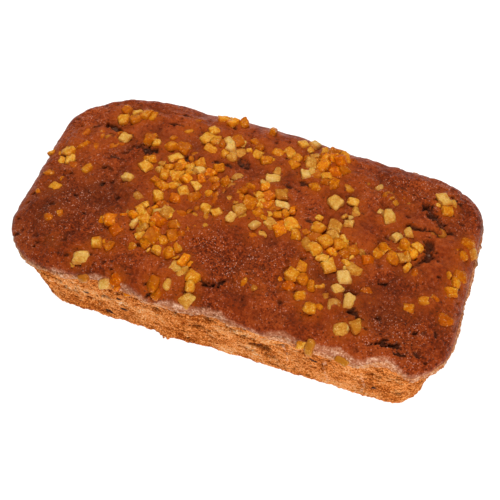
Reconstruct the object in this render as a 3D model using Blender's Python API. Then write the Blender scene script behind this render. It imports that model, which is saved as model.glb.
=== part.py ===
# Whole fruit loaf cake: a tin-baked loaf with a domed crust, diced candied peel and raisins.
# Metres, +Z up. The origin is the middle of the flat base.
import math
import random

import bmesh
import bpy
from mathutils import Matrix, Vector, noise

MM = 0.001

# Loaf, measured at the rim of the crust, where the cake is widest
RIM_LENGTH = 220 * MM
RIM_WIDTH = 115.5 * MM
RIM_HEIGHT = 57 * MM
CORNER_RADII = {
    ("left", "back"): 35 * MM,
    ("right", "back"): 32 * MM,
    ("left", "front"): 24 * MM,
    ("right", "front"): 22 * MM,
}

# Walls, which follow the tapered tin
BASE_INSET_X, BASE_INSET_Y = 6.5 * MM, 10.5 * MM
BASE_EDGE_RADIUS = 4 * MM
BASE_CORNER_LOSS = 8 * MM
NECK_DEPTH = 1.3 * MM
NECK_FROM, NECK_TO = 0.84, 0.97
WALL_LUMP = 1.7 * MM
WALL_LAYER = 1.1 * MM

# Crust, which bulges over the rim and rises to a low dome
SHOULDER_WIDTH = 11 * MM
SHOULDER_HEIGHT = 4.8 * MM
DOME_RISE = 5.2 * MM
DOME_POWER_X, DOME_POWER_Y = 3, 2.5
SWELL = 1.5 * MM
RIPPLE = 0.8 * MM
SWELL_LENGTH, RIPPLE_LENGTH = 46 * MM, 15 * MM

# Crests and hollows of the crust: x, y, height, radius, in millimetres
CREST_SPOTS = (
    (2, -57, 2.0, 9),
    (80, -57, 2.8, 10),
    (-41, -57, 1.0, 8),
    (-44, 54, -1.6, 9),
    (-74, -12, -2.0, 17),
    (72, 52, -1.6, 22),
    (28, 40, 1.2, 12),
)

# Where the outline strays from an even rectangle: x, y, shift along X and Y, radius, in millimetres
OUTLINE_SHIFTS = (
    (-110, -27, -0.5, -0.4, 22),
    (-100, -50, 0.9, 0.6, 12),
    (-92, 51, 1.2, -3.2, 19),
    (-56, 57, 0, 0.8, 14),
    (-12, 57, 0, 0.6, 16),
    (40, 57, 0, -2.6, 24),
    (92, 52, -0.8, -3.0, 28),
    (108, 42, 2.0, 0.6, 12),
    (106, -40, -0.7, 0, 14),
    (-20, -57, 0, -0.8, 14),
    (60, -57, 0, -0.8, 16),
)

# Grid of the loaf's skin, as cuts of a cube along X, Y and Z
SKIN_CELLS = (36, 20, 8)
EDGE_PACKING = 0.6
LEVEL_PACKING = 0.12

# Diced candied peel
PEEL_SEED = 41
PEEL_SIDE = (4.6 * MM, 6.9 * MM)
PEEL_WIDTH = (0.66, 1.02)
PEEL_THICKNESS = (3.6 * MM, 5.2 * MM)
SUNKEN, FLUSH, PROUD = (0.1, 0.2), (0.24, 0.42), (0.4, 0.58)
PEEL_SCATTER = 0.7
PEEL_TILT = math.radians(34)
PEEL_SKEW = 0.09

# Diced peel on the crust, in millimetres: from x, y to x, y, the count and how it sits
PEEL_DRIFTS = (
    (-83.5, 45, -77.5, 44, 2, FLUSH),
    (-81, 36, -75.5, 38, 2, FLUSH),
    (-72, 41, -67, 42, 2, FLUSH),
    (-75.5, 24, -75.5, 24, 1, PROUD),
    (-62, 26, -57.5, 23, 2, FLUSH),
    (-50, 24, -44, 25, 2, FLUSH),
    (-38, 24, -38, 24, 1, SUNKEN),
    (-96.5, 21, -87, 22, 2, SUNKEN),
    (-93, 12, -86.5, 12, 2, SUNKEN),
    (-92, -2, -86, -2, 2, SUNKEN),
    (-104, -9, -102, -21, 2, SUNKEN),
    (-99.5, 7, -96, 3, 2, FLUSH),
    (-56.5, 13, -57, 8, 2, FLUSH),
    (-62.5, -3, -62.5, -3, 1, FLUSH),
    (-96, -15, -96, -15, 1, FLUSH),
    (-88, -30, -91, -35, 2, SUNKEN),
    (-83, -46, -83, -46, 1, SUNKEN),
    (-67, -50, -67, -50, 1, FLUSH),
    (-61.5, -42, -56, -42, 2, FLUSH),
    (-61.5, -28, -57, -32, 2, FLUSH),
    (-54, -12, -53.5, -20, 2, SUNKEN),
    (-48, -19, -44, -23, 2, FLUSH),
    (-48.5, -26, -44, -28, 2, FLUSH),
    (-38.5, -22, -38.5, -22, 1, PROUD),
    (-36, -17, -36, -17, 1, PROUD),
    (-43.5, -33, -33, -30, 3, FLUSH),
    (-25, -24, -24, -31, 2, SUNKEN),
    (-19.5, -37, -19.5, -37, 1, PROUD),
    (-22, -42, -12.5, -44, 3, FLUSH),
    (-29, -53, -23, -51, 2, FLUSH),
    (-12, -48, -11.5, -54, 2, FLUSH),
    (-46, -38, -46, -38, 1, SUNKEN),
    (-46, 17, -45, -1, 4, FLUSH),
    (-40, 14, -35, 7, 2, FLUSH),
    (-40, 7, -40, 1, 2, FLUSH),
    (-30, 13, -30, 13, 1, PROUD),
    (-35.5, -6, -40.5, -11, 2, FLUSH),
    (-45, -7, -45, -7, 1, FLUSH),
    (-28, 4, -22, 3, 2, FLUSH),
    (-28, -2, -20, -6, 2, FLUSH),
    (-11.5, 16, -11.5, 9, 2, SUNKEN),
    (-4, -3, -6, -9, 2, PROUD),
    (-14, -7, -14, -7, 1, FLUSH),
    (-23, -17, -17, 0, 2, SUNKEN),
    (-31, 29, -23, 28, 2, FLUSH),
    (-16, 33, -18, 28, 2, FLUSH),
    (-35, 36, -33, 41, 2, FLUSH),
    (-19, 39, -19, 39, 1, FLUSH),
    (-44.5, 44, -44.5, 44, 1, SUNKEN),
    (-31.5, 52, -26.5, 50, 2, PROUD),
    (-20, 52, -5, 52, 2, PROUD),
    (-7, 34, -1.5, 32, 2, FLUSH),
    (-0.5, 2, 4.5, -2, 2, FLUSH),
    (2.5, 39, 7.5, 40, 2, FLUSH),
    (12, 39, 12.5, 33, 2, FLUSH),
    (13.5, 50, 13.5, 50, 1, PROUD),
    (6, 26, 5, 20, 2, FLUSH),
    (4, 14, 8, 6, 3, FLUSH),
    (12.5, 13, 15, 7, 2, PROUD),
    (5.5, -8, 12, -5, 2, PROUD),
    (18, -6, 22.5, -2, 2, FLUSH),
    (21, 44, 20, 29, 3, FLUSH),
    (24.5, 49, 34.5, 49, 3, PROUD),
    (26, 43, 33.5, 43, 3, PROUD),
    (26.5, 37, 32.5, 36, 2, FLUSH),
    (25, 32, 35, 29, 3, FLUSH),
    (26.5, 23, 26.5, 23, 1, FLUSH),
    (38, 17, 38, 17, 1, PROUD),
    (49, 36, 49, 36, 1, SUNKEN),
    (47, 22, 49, 16, 2, FLUSH),
    (65.5, 17, 65.5, 17, 1, PROUD),
    (66.5, 30, 72, 29, 2, SUNKEN),
    (48, 7, 43, 3, 2, PROUD),
    (42.5, -2, 48, -6, 2, FLUSH),
    (34, -6, 40, -6, 2, FLUSH),
    (37, -12, 45.5, -18, 3, FLUSH),
    (53, -2, 59, -5, 2, SUNKEN),
    (57.5, -17, 55, -22, 2, FLUSH),
    (67.5, 0, 67.5, 0, 1, PROUD),
    (71.5, 8, 77, 12, 2, PROUD),
    (76, 4, 82, 2, 2, FLUSH),
    (72.5, -4, 78, -3, 2, FLUSH),
    (33.5, -23, 31, -29, 2, FLUSH),
    (30.5, -34, 30.5, -34, 1, PROUD),
    (37.5, -38, 44.5, -43, 2, FLUSH),
    (11, -39, 11, -39, 1, SUNKEN),
    (18, -40, 53, -37, 2, SUNKEN),
    (53, -29, 59.5, -33, 2, FLUSH),
    (60, -47, 66.5, -43, 2, FLUSH),
    (89, 39, 91.5, 33, 2, FLUSH),
    (92, 18, 92, 18, 1, SUNKEN),
    (105.5, 17, 103.5, 9, 2, FLUSH),
    (104, -2, 102.5, -13, 3, FLUSH),
    (92.5, -22, 86.5, -28, 2, SUNKEN),
    (85, -9, 103.5, -27, 2, SUNKEN),
    (66, -27, 7, -14, 2, SUNKEN),
)

# Raisins that show through the crust: x, y and heading in degrees, in millimetres
CRUST_RAISINS = (
    (-84, 29, -25),
    (-62, 19, 10),
    (-38, 19, 0),
    (-12, 27, 70),
    (19, 38, -20),
    (21, 24, 30),
    (86, 26, -40),
    (88, 5, 80),
    (-3, -43, 15),
    (64, -39, -30),
    (82, -48, 5),
    (97, -43, 75),
)
RAISIN_LENGTH = (8 * MM, 12 * MM)
RAISIN_WIDTH = 0.62
RAISIN_SHOWING = 0.15
WALL_RAISINS = 16
WALL_RAISIN_BAND = (0.15, 0.85)
WALL_RAISIN_SIZE = 0.8
RAISIN_TAPER = 0.25


def smooth_step(low, high, value):
    share = min(max((value - low) / (high - low), 0.0), 1.0)
    return share * share * (3 - 2 * share)


def corner_radius(x, y):
    side = "right" if x > 0 else "left"
    end = "back" if y > 0 else "front"
    return CORNER_RADII[side, end]


def rounded_plan(x, y, half_length, half_width, radius):
    # Pulls each corner square of a rectangle in to a quarter disc
    across = (abs(x) - (half_length - radius)) / radius
    along = (abs(y) - (half_width - radius)) / radius
    if across <= 0 or along <= 0:
        return x, y
    pulled_x = half_length - radius + radius * across * math.sqrt(1 - along * along / 2)
    pulled_y = half_width - radius + radius * along * math.sqrt(1 - across * across / 2)
    return math.copysign(pulled_x, x), math.copysign(pulled_y, y)


def distance_inside(x, y):
    # How far a point of the plan lies inside the rim
    radius = corner_radius(x, y)
    across = abs(x) - (RIM_LENGTH / 2 - radius)
    along = abs(y) - (RIM_WIDTH / 2 - radius)
    outside = math.hypot(max(across, 0), max(along, 0))
    return radius - outside - min(max(across, along), 0)


def swell(x, y):
    # Slow rise and fall of the whole crust, which also moves the rim up and down
    height = SWELL * noise.noise(Vector((x, y, 0.02)) / SWELL_LENGTH)
    for spot_x, spot_y, rise, radius in CREST_SPOTS:
        away = ((x / MM - spot_x) ** 2 + (y / MM - spot_y) ** 2) / radius**2
        height += rise * MM * math.exp(-away)
    return height


def crust_height(x, y):
    inside = max(distance_inside(x, y), 0.0)
    away = 1 - min(inside / SHOULDER_WIDTH, 1.0)
    shoulder = SHOULDER_HEIGHT * math.sqrt(1 - away * away)
    dome_x = max(1 - abs(2 * x / RIM_LENGTH) ** DOME_POWER_X, 0)
    dome_y = max(1 - abs(2 * y / RIM_WIDTH) ** DOME_POWER_Y, 0)
    ripple = RIPPLE * noise.noise(Vector((x, y, 0.3)) / RIPPLE_LENGTH)
    ripple *= smooth_step(0, SHOULDER_WIDTH, inside)
    return RIM_HEIGHT + swell(x, y) + shoulder + DOME_RISE * dome_x * dome_y + ripple


def crust_normal(x, y, step=1.5 * MM):
    slope_x = (crust_height(x + step, y) - crust_height(x - step, y)) / (2 * step)
    slope_y = (crust_height(x, y + step) - crust_height(x, y - step)) / (2 * step)
    return Vector((-slope_x, -slope_y, 1)).normalized()


def settled(x, y, z):
    # The point of the finished cake for a point of the even loaf
    place = Vector((x, y, z))
    for spot_x, spot_y, shift_x, shift_y, radius in OUTLINE_SHIFTS:
        away = ((x / MM - spot_x) ** 2 + (y / MM - spot_y) ** 2) / radius**2
        place += Vector((shift_x, shift_y, 0)) * MM * math.exp(-away)
    return place


def wall_inset(share, base_inset):
    # How far the wall stands inside the rim, from 0 at the base to 1 at the rim
    inset = base_inset * (1 - share)
    inset += NECK_DEPTH * (1 - smooth_step(NECK_FROM, NECK_TO, share))
    height = share * RIM_HEIGHT
    if height < BASE_EDGE_RADIUS:
        drop = 1 - height / BASE_EDGE_RADIUS
        inset += BASE_EDGE_RADIUS * (1 - math.sqrt(1 - drop * drop))
    return inset


def wall_relief(x, y, z):
    lump = WALL_LUMP * noise.noise(Vector((x, y, 1.6 * z)) / (28 * MM))
    layer = WALL_LAYER * noise.noise(Vector((x, y, 2.4 * z + 0.5)) / (15 * MM))
    return (lump + layer) * smooth_step(0, 8 * MM, z)


def wall_point(u, v, share):
    # A point of the side skin, from its place on the square u, v and its share of the height
    inset_x = wall_inset(share, BASE_INSET_X)
    inset_y = wall_inset(share, BASE_INSET_Y)
    half_length = RIM_LENGTH / 2 - inset_x
    half_width = RIM_WIDTH / 2 - inset_y
    radius = corner_radius(u, v) - BASE_CORNER_LOSS * (1 - share)
    x, y = rounded_plan(u * half_length, v * half_width, half_length, half_width, radius)
    rim_x, rim_y = rounded_plan(
        u * RIM_LENGTH / 2, v * RIM_WIDTH / 2, RIM_LENGTH / 2, RIM_WIDTH / 2, corner_radius(u, v)
    )
    z = share * (RIM_HEIGHT + swell(rim_x, rim_y))
    out = Vector((x - 0.8 * x * (1 - RIM_WIDTH / RIM_LENGTH), y)).normalized()
    push = wall_relief(x, y, z) * (1 - smooth_step(NECK_TO, 1, share))
    return settled(x + out.x * push, y + out.y * push, z)


def packed(value):
    # Spreads even grid lines so that they lie closer near the two ends
    return value * (1 - EDGE_PACKING) + EDGE_PACKING * math.sin(math.pi * value / 2)


def skin_point(corner):
    u, v = packed(corner.x), packed(corner.y)
    share = (corner.z + 1) / 2
    share -= LEVEL_PACKING * math.sin(2 * math.pi * share)
    if share > 0.999 and max(abs(corner.x), abs(corner.y)) < 0.999:
        radius = corner_radius(u, v)
        x, y = rounded_plan(
            u * RIM_LENGTH / 2, v * RIM_WIDTH / 2, RIM_LENGTH / 2, RIM_WIDTH / 2, radius
        )
        return settled(x, y, crust_height(x, y))
    return wall_point(u, v, share)


def cut_cube(cells):
    # A cube of size 2, cut into a different number of cells along each axis
    skin = bmesh.new()
    bmesh.ops.create_cube(skin, size=2)
    for axis, count in enumerate(cells):
        lengthwise = [
            edge
            for edge in skin.edges
            if abs((edge.verts[0].co - edge.verts[1].co)[axis]) > 1.9
        ]
        bmesh.ops.subdivide_edges(skin, edges=lengthwise, cuts=count - 1, use_grid_fill=True)
    return skin


def new_object(name, mesh_data, material, collection):
    mesh = bpy.data.meshes.new(name)
    mesh_data.to_mesh(mesh)
    mesh_data.free()
    mesh.materials.append(material)
    made = bpy.data.objects.new(name, mesh)
    collection.objects.link(made)
    return made


def new_material(name, colour, roughness):
    material = bpy.data.materials.new(name)
    material.use_nodes = True
    shader = material.node_tree.nodes["Principled BSDF"]
    shader.inputs["Base Color"].default_value = (*colour, 1)
    shader.inputs["Roughness"].default_value = roughness
    return material


def make_loaf(collection, material):
    skin = cut_cube(SKIN_CELLS)
    underside = [face for face in skin.faces if face.normal.z < -0.9]
    bmesh.ops.dissolve_faces(skin, faces=underside, use_verts=True)
    for vert in skin.verts:
        vert.co = skin_point(vert.co)
    bmesh.ops.triangulate(skin, faces=[face for face in skin.faces if len(face.verts) == 4])
    return new_object("cake_loaf", skin, material, collection)


def peel_dice():
    # Every die of peel, as its place, sizes and how it lies, from one seeded draw. Deep dice lean less
    draw = random.Random(PEEL_SEED)
    dice = []
    for start_x, start_y, end_x, end_y, count, showing in PEEL_DRIFTS:
        for number in range(count):
            share = number / (count - 1) if count > 1 else 0
            x = start_x + (end_x - start_x) * share + draw.uniform(-PEEL_SCATTER, PEEL_SCATTER)
            y = start_y + (end_y - start_y) * share + draw.uniform(-PEEL_SCATTER, PEEL_SCATTER)
            side = draw.uniform(*PEEL_SIDE)
            dice.append(
                {
                    "place": Vector((x * MM, y * MM)),
                    "sizes": (side, side * draw.uniform(*PEEL_WIDTH), draw.uniform(*PEEL_THICKNESS)),
                    "heading": draw.uniform(0, math.pi),
                    "showing": draw.uniform(*showing),
                    "lean": (draw.uniform(-PEEL_TILT, PEEL_TILT), draw.uniform(-PEEL_TILT, PEEL_TILT)),
                    "skew": [
                        [draw.uniform(-PEEL_SKEW, PEEL_SKEW) for _ in range(3)] for _ in range(8)
                    ],
                }
            )
    return dice


def make_die(number, die, collection, material):
    x, y = die["place"]
    normal = crust_normal(x, y)
    shape = bmesh.new()
    bmesh.ops.create_cube(shape, size=1)
    for vert, skew in zip(shape.verts, die["skew"]):
        vert.co += Vector(skew)
        vert.co = Vector(size * part for size, part in zip(die["sizes"], vert.co))
    made = new_object(f"peel_{number}", shape, material, collection)
    turn = normal.to_track_quat("Z", "Y").to_matrix().to_4x4()
    turn @= Matrix.Rotation(die["heading"], 4, "Z")
    tilt_x, tilt_y = (lean * die["showing"] for lean in die["lean"])
    turn @= Matrix.Rotation(tilt_x, 4, "X") @ Matrix.Rotation(tilt_y, 4, "Y")
    lift = normal * die["sizes"][2] * (die["showing"] - 0.5)
    made.matrix_world = Matrix.Translation(settled(x, y, crust_height(x, y)) + lift) @ turn
    return made


def make_raisin(number, place, normal, heading, length, collection, material):
    shape = bmesh.new()
    bmesh.ops.create_icosphere(shape, subdivisions=2, radius=0.5)
    for vert in shape.verts:
        vert.co.y *= 1 + RAISIN_TAPER * vert.co.x
    made = new_object(f"raisin_{number}", shape, material, collection)
    turn = normal.to_track_quat("Z", "Y").to_matrix().to_4x4() @ Matrix.Rotation(heading, 4, "Z")
    thick = RAISIN_WIDTH * length
    sink = normal * thick * (RAISIN_SHOWING - 0.5)
    made.matrix_world = (
        Matrix.Translation(place + sink) @ turn @ Matrix.Diagonal((length, thick, thick, 1))
    )
    return made


def make_crust_raisins(draw, collection, material):
    for number, (x, y, heading) in enumerate(CRUST_RAISINS):
        make_raisin(
            f"crust_{number}",
            settled(x * MM, y * MM, crust_height(x * MM, y * MM)),
            crust_normal(x * MM, y * MM),
            math.radians(heading),
            draw.uniform(*RAISIN_LENGTH),
            collection,
            material,
        )


def make_wall_raisins(draw, collection, material):
    # Raisins that show in the four walls, spread by turns round the loaf
    for number in range(WALL_RAISINS):
        turn = 2 * math.pi * (number + draw.uniform(-0.3, 0.3)) / WALL_RAISINS
        u, v = math.cos(turn), math.sin(turn)
        reach = max(abs(u), abs(v))
        share = draw.uniform(*WALL_RAISIN_BAND)
        place = wall_point(u / reach, v / reach, share)
        inner = wall_point(u / reach * 0.9, v / reach * 0.9, share)
        make_raisin(
            f"wall_{number}",
            place,
            (place - inner).normalized(),
            draw.uniform(-0.6, 0.6),
            draw.uniform(*RAISIN_LENGTH) * WALL_RAISIN_SIZE,
            collection,
            material,
        )


def fill_pockets(mesh):
    # Removes the small inner shells that are left where neighbouring dice close off a pocket
    skin = bmesh.new()
    skin.from_mesh(mesh)
    unseen = set(skin.verts)
    shells = []
    while unseen:
        edge_of_search = [unseen.pop()]
        shell = list(edge_of_search)
        while edge_of_search:
            vert = edge_of_search.pop()
            found = {edge.other_vert(vert) for edge in vert.link_edges} & unseen
            unseen -= found
            shell += found
            edge_of_search += found
        shells.append(shell)
    shells.sort(key=len)
    for shell in shells[:-1]:
        bmesh.ops.delete(skin, geom=shell, context="VERTS")
    skin.to_mesh(mesh)
    skin.free()


def fuse(loaf, collection):
    # One union of the loaf and all that is stuck in it
    union = loaf.modifiers.new("fruit", "BOOLEAN")
    union.operation = "UNION"
    union.operand_type = "COLLECTION"
    union.collection = collection
    union.solver = "MANIFOLD"
    bpy.context.view_layer.update()
    graph = bpy.context.evaluated_depsgraph_get()
    fused = bpy.data.meshes.new_from_object(loaf.evaluated_get(graph), depsgraph=graph)
    loaf.modifiers.clear()
    fill_pockets(fused)
    loaf.data = fused
    for made in list(collection.objects):
        bpy.data.objects.remove(made)
    bpy.data.collections.remove(collection)


def main():
    for old in list(bpy.data.objects):
        bpy.data.objects.remove(old)
    cake = bpy.data.collections.new("fruit_cake")
    fruit = bpy.data.collections.new("fruit")
    bpy.context.scene.collection.children.link(cake)
    bpy.context.scene.collection.children.link(fruit)
    crust = new_material("baked_crust", (0.23, 0.055, 0.018), 0.55)
    peel = new_material("candied_peel", (0.72, 0.32, 0.03), 0.3)
    raisin = new_material("raisin_skin", (0.03, 0.014, 0.01), 0.5)
    loaf = make_loaf(cake, crust)
    for number, die in enumerate(peel_dice()):
        make_die(number, die, fruit, peel)
    draw = random.Random(PEEL_SEED + 1)
    make_crust_raisins(draw, fruit, raisin)
    make_wall_raisins(draw, fruit, raisin)
    fuse(loaf, fruit)
    loaf.data.shade_smooth()
    loaf.data.set_sharp_from_angle(angle=math.radians(35))


main()
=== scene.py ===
# Looks of a whole fruit loaf cake: baked crust over open crumb, diced candied peel and raisins.
# The scene is in metres, +Z up, and so is the studio's table. The other tables are in millimetres.
import functools
import math
import random

import bmesh
import bpy
import numpy as np
from mathutils import Matrix, Vector, noise


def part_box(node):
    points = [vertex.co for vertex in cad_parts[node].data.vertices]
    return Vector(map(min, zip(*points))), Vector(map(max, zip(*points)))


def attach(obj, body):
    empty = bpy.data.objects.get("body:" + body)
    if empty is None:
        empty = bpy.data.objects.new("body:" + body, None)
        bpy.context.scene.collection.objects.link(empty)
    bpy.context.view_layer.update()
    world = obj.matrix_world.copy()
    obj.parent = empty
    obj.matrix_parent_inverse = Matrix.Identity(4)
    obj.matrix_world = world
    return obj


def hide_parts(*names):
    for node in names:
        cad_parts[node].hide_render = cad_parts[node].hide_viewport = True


mm = 0.001
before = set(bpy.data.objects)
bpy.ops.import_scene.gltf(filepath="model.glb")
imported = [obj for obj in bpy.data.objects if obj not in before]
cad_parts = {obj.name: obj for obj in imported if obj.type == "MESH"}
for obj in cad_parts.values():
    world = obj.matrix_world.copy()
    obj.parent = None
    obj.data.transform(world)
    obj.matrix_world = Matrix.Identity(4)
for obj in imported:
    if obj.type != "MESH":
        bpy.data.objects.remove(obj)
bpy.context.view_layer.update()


def linearOf(hexColour):
    channels = [int(hexColour[at:at + 2], 16) / 255 for at in (1, 3, 5)]
    return tuple(c / 12.92 if c <= 0.04045 else ((c + 0.055) / 1.055) ** 2.4 for c in channels) + (1.0,)


def smoothStep(low, high, value):
    share = np.clip((value - low) / (high - low), 0.0, 1.0)
    return share * share * (3 - 2 * share)


# A share that is 1 at the centre and falls off on both sides of it
def bell(value, centre, reach):
    return np.exp(-(((value - centre) / reach) ** 2))


# The same round a spot of the plan, given as x, y, reach in x, in y
def spotShare(x, y, spot):
    spotX, spotY, reachX, reachY = spot
    return bell(x, spotX, reachX) * bell(y, spotY, reachY)


def noiseAt(x, y, z, length):
    points = np.stack(np.broadcast_arrays(x, y, z), -1).reshape(-1, 3) / length
    return np.array([noise.noise(point) for point in points.tolist()]).reshape(np.shape(x))


# Values of some points as values of all points, with zero for the others
def spreadOut(values, some):
    everywhere = np.zeros(len(some))
    everywhere[some] = values
    return everywhere


# Shape of the loaf, as in the CAD
loaf = {
    "rimLength": 220.0,
    "rimWidth": 115.5,
    "rimHeight": 57.0,
    "cornerRadii": (24.0, 22.0, 35.0, 32.0),  # left front, right front, left back, right back
    "baseInset": (6.5, 10.5),  # along X and Y
    "baseEdgeRadius": 4.0,
    "baseCornerLoss": 8.0,
    "neckDepth": 1.3,
    "neck": (0.84, 0.97),  # from and to, as shares of the height
    "wallLump": (1.7, 28.0, 1.6),  # height, length, squeeze in Z
    "wallLayer": (1.1, 15.0, 2.4),
    "wallFoot": 8.0,  # the lumps fade out below this height
    "shoulderWidth": 11.0,
    "shoulderHeight": 4.8,
    "domeRise": 5.2,
    "domePowers": (3, 2.5),  # how flat the dome is along X and Y
    "swell": 1.5,
    "swellLength": 46.0,
    "ripple": 0.8,
    "rippleLength": 15.0,
    "cells": (410, 216, 68),  # along X, Y and Z
    "packing": 0.25,  # how much closer the cells lie near the rim
    "crestSpots": (  # x, y, height, radius
        (2, -57, 2.0, 9),
        (80, -57, 2.8, 10),
        (-41, -57, 1.0, 8),
        (-44, 54, -1.6, 9),
        (-74, -12, -2.0, 17),
        (72, 52, -1.6, 22),
        (28, 40, 1.2, 12),
    ),
    "outlineShifts": (  # x, y, shift along X and Y, radius
        (-110, -27, -0.5, -0.4, 22),
        (-100, -50, 0.9, 0.6, 12),
        (-92, 51, 1.2, -3.2, 19),
        (-56, 57, 0, 0.8, 14),
        (-12, 57, 0, 0.6, 16),
        (40, 57, 0, -2.6, 24),
        (92, 52, -0.8, -3.0, 28),
        (108, 42, 2.0, 0.6, 12),
        (106, -40, -0.7, 0, 14),
        (-20, -57, 0, -0.8, 14),
        (60, -57, 0, -0.8, 16),
    ),
}
halfRim = (loaf["rimLength"] / 2, loaf["rimWidth"] / 2)


def cornerRadius(x, y):
    leftFront, rightFront, leftBack, rightBack = loaf["cornerRadii"]
    return np.where(y > 0, np.where(x > 0, rightBack, leftBack), np.where(x > 0, rightFront, leftFront))


# Pulls each corner square of a rectangle in to a quarter disc
def roundedPlan(x, y, halfLength, halfWidth, radius):
    across = np.maximum((np.abs(x) - (halfLength - radius)) / radius, 0)
    along = np.maximum((np.abs(y) - (halfWidth - radius)) / radius, 0)
    corner = (across > 0) & (along > 0)
    pulledX = halfLength - radius + radius * across * np.sqrt(1 - np.minimum(along, 1) ** 2 / 2)
    pulledY = halfWidth - radius + radius * along * np.sqrt(1 - np.minimum(across, 1) ** 2 / 2)
    return np.where(corner, np.copysign(pulledX, x), x), np.where(corner, np.copysign(pulledY, y), y)


# Place on the plan of the rim for a place on the square from -1 to 1
def rimPlan(u, v):
    halfLength, halfWidth = halfRim
    return roundedPlan(u * halfLength, v * halfWidth, halfLength, halfWidth, cornerRadius(u, v))


# How far a place lies inside the outline of the rim
def distanceInside(x, y):
    radius = cornerRadius(x, y)
    across = np.abs(x) - (halfRim[0] - radius)
    along = np.abs(y) - (halfRim[1] - radius)
    outside = np.hypot(np.maximum(across, 0), np.maximum(along, 0))
    return radius - outside - np.minimum(np.maximum(across, along), 0)


def swell(x, y):
    height = loaf["swell"] * noiseAt(x, y, 20.0, loaf["swellLength"])
    for spotX, spotY, rise, radius in loaf["crestSpots"]:
        height = height + rise * spotShare(x, y, (spotX, spotY, radius, radius))
    return height


def crustHeight(x, y):
    inside = np.maximum(distanceInside(x, y), 0)
    away = 1 - np.minimum(inside / loaf["shoulderWidth"], 1)
    shoulder = loaf["shoulderHeight"] * np.sqrt(1 - away * away)
    powerX, powerY = loaf["domePowers"]
    domeX = np.maximum(1 - np.abs(x / halfRim[0]) ** powerX, 0)
    domeY = np.maximum(1 - np.abs(y / halfRim[1]) ** powerY, 0)
    ripple = loaf["ripple"] * noiseAt(x, y, 300.0, loaf["rippleLength"])
    ripple = ripple * smoothStep(0, loaf["shoulderWidth"], inside)
    return loaf["rimHeight"] + swell(x, y) + shoulder + loaf["domeRise"] * domeX * domeY + ripple


def crustNormals(x, y, step=1.5):
    slopeX = (crustHeight(x + step, y) - crustHeight(x - step, y)) / (2 * step)
    slopeY = (crustHeight(x, y + step) - crustHeight(x, y - step)) / (2 * step)
    return [Vector((-a, -b, 1)).normalized() for a, b in zip(slopeX, slopeY)]


# The points of the finished cake for points of the even loaf
def settled(x, y, z):
    shiftX, shiftY = np.zeros(np.shape(x)), np.zeros(np.shape(x))
    for spotX, spotY, alongX, alongY, radius in loaf["outlineShifts"]:
        share = spotShare(x, y, (spotX, spotY, radius, radius))
        shiftX, shiftY = shiftX + alongX * share, shiftY + alongY * share
    return np.stack((x + shiftX, y + shiftY, z), -1)


# Places on the walls, from u, v on a square's edge and the share of the height, and how far below the rim
def wallPoint(u, v, share):
    height = share * loaf["rimHeight"]
    inset = loaf["neckDepth"] * (1 - smoothStep(*loaf["neck"], share))
    drop = np.maximum(1 - height / loaf["baseEdgeRadius"], 0)
    inset = inset + loaf["baseEdgeRadius"] * (1 - np.sqrt(1 - drop * drop))
    halfLength = halfRim[0] - inset - loaf["baseInset"][0] * (1 - share)
    halfWidth = halfRim[1] - inset - loaf["baseInset"][1] * (1 - share)
    radius = cornerRadius(u, v) - loaf["baseCornerLoss"] * (1 - share)
    x, y = roundedPlan(u * halfLength, v * halfWidth, halfLength, halfWidth, radius)
    rimZ = loaf["rimHeight"] + swell(*rimPlan(u, v))
    z = share * rimZ

    # Lumps and layers push each point out from the middle of the loaf
    outX, outY = x - 0.8 * x * (1 - loaf["rimWidth"] / loaf["rimLength"]), y
    size = np.hypot(outX, outY)
    lump, lumpLength, lumpSqueeze = loaf["wallLump"]
    layer, layerLength, layerSqueeze = loaf["wallLayer"]
    push = lump * noiseAt(x, y, lumpSqueeze * z, lumpLength)
    push = push + layer * noiseAt(x, y, layerSqueeze * z + 500, layerLength)
    push = push * smoothStep(0, loaf["wallFoot"], z) * (1 - smoothStep(loaf["neck"][1], 1, share))
    return settled(x + outX / size * push, y + outY / size * push, z), rimZ - z


# One place on a wall
def wallSpot(u, v, share):
    place, _ = wallPoint(np.array([u]), np.array([v]), np.array([share]))
    return Vector(place[0])


# Fine relief of the baked crust
crust = {
    "waves": ((1.7, 12.0), (0.9, 6.0)),  # height and length of each wave of the surface
    "folds": (1.1, 8.0),
    "rimReach": 5.0,
    "rimCalm": 0.8,  # share of the waves that is missing at the rim, which runs even
    "grain": ((0.5, 2.8), (0.42, 1.3)),  # height and length
    "grainShares": (0.35, 0.8),  # how much of the grain shows everywhere, and more where it is rough
    "grainCalm": 0.6,  # share that is missing at the rim and where syrup soaked in
    "wrinkle": (0.8, 3.4),  # height and length
    "wrinkleSpots": ((-60, 40, 26, 10), (70, 34, 26, 12), (-88, 8, 18, 14)),  # x, y, reach in x, in y
    "collar": 0.35,  # dough that the dice push up
    "collarWidth": 1.6,
    "gap": 0.12,  # groove round a die that stands proud
    "stainWidth": 3.4,
    "sunkenStain": 0.45,
    "pits": 150,  # burst bubbles
    "pitSpread": (108, 56),
    "pitRadius": (0.7, 1.6),
    "pitDepth": (0.6, 1.5),
    "fullShadeDepth": 1.6,  # painted shade of a hollow is full at this depth
    "roughSpots": (  # x, y, reach in x, in y
        (-34, -36, 30, 13),
        (84, -42, 18, 12),
        (20, -28, 30, 12),
        (48, -14, 24, 12),
        (-90, -10, 22, 30),
        (70, 38, 26, 10),
        (-100, 26, 8, 26),
    ),
    "bulges": ((-3.6, -42.4, 5.5, 2.2, 1.5), (97, -42, 4.0, 7.5, 1.5)),  # x, y, reach in x, in y, height
    # spots of painted shade in the crust's hollows: x, y, reach in x, in y
    "shadedHollows": ((-72, -13, 17, 13), (46, -26, 10, 6), (-96, -30, 14, 18), (76, -34, 16, 9)),
}

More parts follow.
